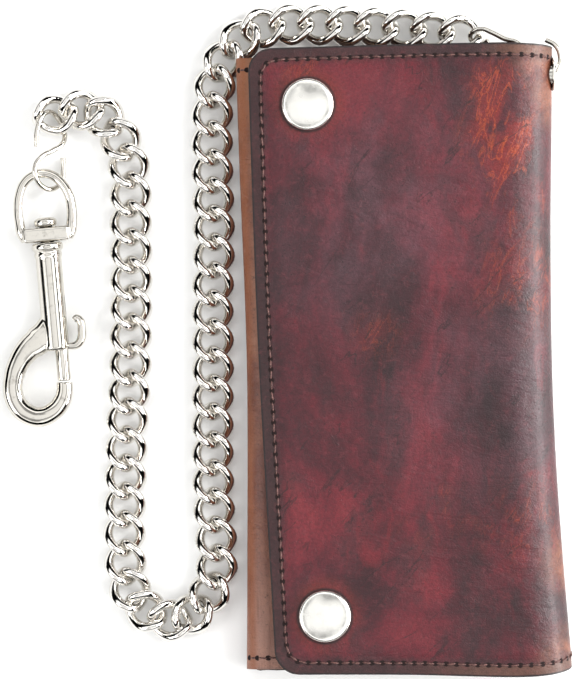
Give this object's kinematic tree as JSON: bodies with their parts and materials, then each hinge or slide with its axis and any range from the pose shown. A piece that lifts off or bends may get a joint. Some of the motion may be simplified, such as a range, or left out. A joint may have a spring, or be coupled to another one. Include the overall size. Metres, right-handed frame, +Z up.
{
  "type": "chain wallet",
  "caption": "Long folding leather wallet with snap flap, card and coin pockets, and a curb chain that ends in a swivel bolt snap.",
  "frame": {"origin": "middle of the wallet's flat back, where it rests on the table", "axes": "+X from the opening edge towards the spine, +Y along the wallet towards the end with the chain's eyelet, +Z up through the closed flap"},
  "size_m": [0.1669, 0.2006, 0.0215],
  "materials": {
    "burgundy_leather": "oiled, semi-gloss, worn at the edges",
    "tan_suede": "napped suede lining",
    "pocket_leather": "thin smooth pocket leather",
    "zipper_cloth": "woven zipper tape",
    "nickel_plate": "bright nickel plate",
    "spring_steel": "drawn wire"
  },
  "bodies": {
    "wallet": {"shell_back": "burgundy_leather", "shell_side": "burgundy_leather", "shell_spine": "burgundy_leather", "back_lining": "tan_suede", "bill_pocket": "pocket_leather", "coin_pocket": "pocket_leather", "zipper_tape": "zipper_cloth", "zipper_teeth": "nickel_plate", "grommet_eyelet": "nickel_plate", "grommet_washer": "nickel_plate"},
    "flap": {"shell_flap": "burgundy_leather", "flap_lining": "tan_suede", "card_pocket_1": "pocket_leather", "card_pocket_2": "pocket_leather", "card_pocket_3": "pocket_leather", "snap_cap_upper": "nickel_plate", "snap_cap_lower": "nickel_plate", "snap_socket_upper": "nickel_plate", "snap_socket_lower": "nickel_plate"},
    "snap_tab": {"shell_tab": "burgundy_leather", "tab_lining": "tan_suede", "snap_stud_upper": "nickel_plate", "snap_stud_lower": "nickel_plate", "snap_post_upper": "nickel_plate", "snap_post_lower": "nickel_plate"},
    "zip_slider": {"zipper_slider": "nickel_plate", "zipper_pull": "nickel_plate"},
    "wallet_hook": {"wallet_s_hook": "nickel_plate"},
    "links_01": {"chain_links_01": "nickel_plate"},
    "links_02": {"chain_links_02": "nickel_plate"},
    "links_03": {"chain_links_03": "nickel_plate"},
    "links_04": {"chain_links_04": "nickel_plate"},
    "links_05": {"chain_links_05": "nickel_plate"},
    "links_06": {"chain_links_06": "nickel_plate"},
    "links_07": {"chain_links_07": "nickel_plate"},
    "links_08": {"chain_links_08": "nickel_plate"},
    "links_09": {"chain_links_09": "nickel_plate"},
    "links_10": {"chain_links_10": "nickel_plate"},
    "links_11": {"chain_links_11": "nickel_plate"},
    "links_12": {"chain_links_12": "nickel_plate"},
    "links_13": {"chain_links_13": "nickel_plate"},
    "links_14": {"chain_links_14": "nickel_plate"},
    "links_15": {"chain_links_15": "nickel_plate"},
    "links_16": {"chain_links_16": "nickel_plate"},
    "links_17": {"chain_links_17": "nickel_plate"},
    "links_18": {"chain_links_18": "nickel_plate"},
    "links_19": {"chain_links_19": "nickel_plate"},
    "links_20": {"chain_links_20": "nickel_plate"},
    "links_21": {"chain_links_21": "nickel_plate"},
    "links_22": {"chain_links_22": "nickel_plate"},
    "links_23": {"chain_links_23": "nickel_plate"},
    "links_24": {"chain_links_24": "nickel_plate"},
    "links_25": {"chain_links_25": "nickel_plate"},
    "links_26": {"chain_links_26": "nickel_plate"},
    "clip_hook": {"clip_s_hook": "nickel_plate"},
    "eye": {"swivel_eye": "nickel_plate"},
    "snap": {"snap_body": "nickel_plate", "bolt_spring": "spring_steel"},
    "bolt": {"thumb_bolt": "nickel_plate"}
  },
  "joints": [
    {"name": "flap_fold", "type": "hinge", "parent": "wallet", "child": "flap", "pos_m": [0.0446, 0, 0.0174], "axis": [0, 1, 0], "range_deg": [0, 180]},
    {"name": "tab_fold", "type": "hinge", "parent": "wallet", "child": "snap_tab", "pos_m": [-0.0462, 0, 0.013], "axis": [0, -1, 0], "range_deg": [0, 153]},
    {"name": "coin_zip_slide", "type": "slide", "parent": "wallet", "child": "zip_slider", "axis": [0, -1, 0], "range_m": [0, 0.126]},
    {"name": "hook_turn_at_wallet", "type": "hinge", "parent": "wallet", "child": "wallet_hook", "pos_m": [0.045, 0.085, 0.009], "axis": [0, 0, -1], "range_deg": [0, 10]},
    {"name": "hook_turn_at_clip", "type": "hinge", "parent": "links_26", "child": "clip_hook", "pos_m": [-0.104, 0.0734, 0.0036], "axis": [0, 0, -1], "range_deg": [0, 12]},
    {"name": "eye_tilt", "type": "hinge", "parent": "clip_hook", "child": "eye", "pos_m": [-0.1069, 0.0573, 0.0048], "axis": [-1, 0, 0], "range_deg": [0, 25]},
    {"name": "clip_swivel", "type": "hinge", "parent": "eye", "child": "snap", "pos_m": [-0.1055, 0.04, 0.0048], "axis": [-0.0715, 0.9974, 0], "range_deg": [0, 150]},
    {"name": "bolt_slide", "type": "slide", "parent": "snap", "child": "bolt", "axis": [-0.0715, 0.9974, 0], "range_m": [0, 0.009], "stiffness_N_per_m": 150, "springref_m": -0.004, "deforming": ["bolt_spring"]},
    {"name": "link_01_swings", "type": "hinge", "parent": "wallet_hook", "child": "links_01", "pos_m": [0.0234, 0.0969, 0.0042], "axis": [0, 0, -1], "range_deg": [0, 8]},
    {"name": "link_02_lifts", "type": "hinge", "parent": "links_01", "child": "links_02", "pos_m": [0.00671, 0.09909, 0.00333], "axis": [0.0796, 0.9968, 0], "range_deg": [0, 6]},
    {"name": "link_03_swings", "type": "hinge", "parent": "links_02", "child": "links_03", "pos_m": [-0.01012, 0.10042, 0.00319], "axis": [0, 0, -1], "range_deg": [0, 8]},
    {"name": "link_04_lifts", "type": "hinge", "parent": "links_03", "child": "links_04", "pos_m": [-0.02696, 0.10152, 0.0032], "axis": [0.0286, 0.9996, 0], "range_deg": [0, 6]},
    {"name": "link_05_swings", "type": "hinge", "parent": "links_04", "child": "links_05", "pos_m": [-0.04367, 0.09995, 0.0032], "axis": [0, 0, -1], "range_deg": [0, 8]},
    {"name": "link_06_swings", "type": "hinge", "parent": "links_05", "child": "links_06", "pos_m": [-0.05385, 0.08744, 0.0032], "axis": [0, 0, -1], "range_deg": [0, 5]},
    {"name": "link_07_rolls", "type": "hinge", "parent": "links_06", "child": "links_07", "pos_m": [-0.05558, 0.07069, 0.0032], "axis": [0.0324, 0.9995, 0], "range_deg": [0, 12]},
    {"name": "link_08_swings", "type": "hinge", "parent": "links_07", "child": "links_08", "pos_m": [-0.05562, 0.05381, 0.0032], "axis": [0, 0, -1], "range_deg": [0, 5]},
    {"name": "link_09_rolls", "type": "hinge", "parent": "links_08", "child": "links_09", "pos_m": [-0.05547, 0.03694, 0.0032], "axis": [0.0251, 0.9997, 0], "range_deg": [0, 12]},
    {"name": "link_10_swings", "type": "hinge", "parent": "links_09", "child": "links_10", "pos_m": [-0.0562, 0.02007, 0.0032], "axis": [0, 0, -1], "range_deg": [0, 5]},
    {"name": "link_11_rolls", "type": "hinge", "parent": "links_10", "child": "links_11", "pos_m": [-0.05636, 0.00319, 0.0032], "axis": [0.0124, 0.9999, 0], "range_deg": [0, 12]},
    {"name": "link_12_swings", "type": "hinge", "parent": "links_11", "child": "links_12", "pos_m": [-0.05676, -0.01368, 0.0032], "axis": [0, 0, -1], "range_deg": [0, 5]},
    {"name": "link_13_rolls", "type": "hinge", "parent": "links_12", "child": "links_13", "pos_m": [-0.05702, -0.03056, 0.0032], "axis": [0.0054, 1, 0], "range_deg": [0, 12]},
    {"name": "link_14_swings", "type": "hinge", "parent": "links_13", "child": "links_14", "pos_m": [-0.05681, -0.04744, 0.0032], "axis": [0, 0, -1], "range_deg": [0, 5]},
    {"name": "link_15_swings", "type": "hinge", "parent": "links_14", "child": "links_15", "pos_m": [-0.05665, -0.06428, 0.0032], "axis": [0, 0, 1], "range_deg": [0, 12]},
    {"name": "link_16_swings", "type": "hinge", "parent": "links_15", "child": "links_16", "pos_m": [-0.06681, -0.07649, 0.0032], "axis": [0, 0, 1], "range_deg": [0, 12]},
    {"name": "link_17_swings", "type": "hinge", "parent": "links_16", "child": "links_17", "pos_m": [-0.08127, -0.07035, 0.0032], "axis": [0, 0, 1], "range_deg": [0, 12]},
    {"name": "link_18_lifts", "type": "hinge", "parent": "links_17", "child": "links_18", "pos_m": [-0.08381, -0.05386, 0.0032], "axis": [1, 0.0053, 0], "range_deg": [0, 10]},
    {"name": "link_19_swings", "type": "hinge", "parent": "links_18", "child": "links_19", "pos_m": [-0.08327, -0.03699, 0.0032], "axis": [0, 0, 1], "range_deg": [0, 5]},
    {"name": "link_20_lifts", "type": "hinge", "parent": "links_19", "child": "links_20", "pos_m": [-0.08261, -0.02013, 0.0032], "axis": [0.9977, -0.0672, 0], "range_deg": [0, 10]},
    {"name": "link_21_swings", "type": "hinge", "parent": "links_20", "child": "links_21", "pos_m": [-0.08131, -0.0033, 0.0032], "axis": [0, 0, 1], "range_deg": [0, 5]},
    {"name": "link_22_lifts", "type": "hinge", "parent": "links_21", "child": "links_22", "pos_m": [-0.08075, 0.01357, 0.0032], "axis": [0.9996, -0.0285, 0], "range_deg": [0, 10]},
    {"name": "link_23_swings", "type": "hinge", "parent": "links_22", "child": "links_23", "pos_m": [-0.08038, 0.03045, 0.0032], "axis": [0, 0, 1], "range_deg": [0, 4]},
    {"name": "link_24_swings", "type": "hinge", "parent": "links_23", "child": "links_24", "pos_m": [-0.08033, 0.04732, 0.0032], "axis": [0, 0, -1], "range_deg": [0, 12]},
    {"name": "link_25_swings", "type": "hinge", "parent": "links_24", "child": "links_25", "pos_m": [-0.08104, 0.06414, 0.0032], "axis": [0, 0, -1], "range_deg": [0, 12]},
    {"name": "link_26_swings", "type": "hinge", "parent": "links_25", "child": "links_26", "pos_m": [-0.09059, 0.07738, 0.00363], "axis": [0, 0, -1], "range_deg": [0, 12]}
  ],
  "couplings": [
    {"joint": "tab_fold", "follows": "flap_fold", "ratio": 0.85}
  ]
}
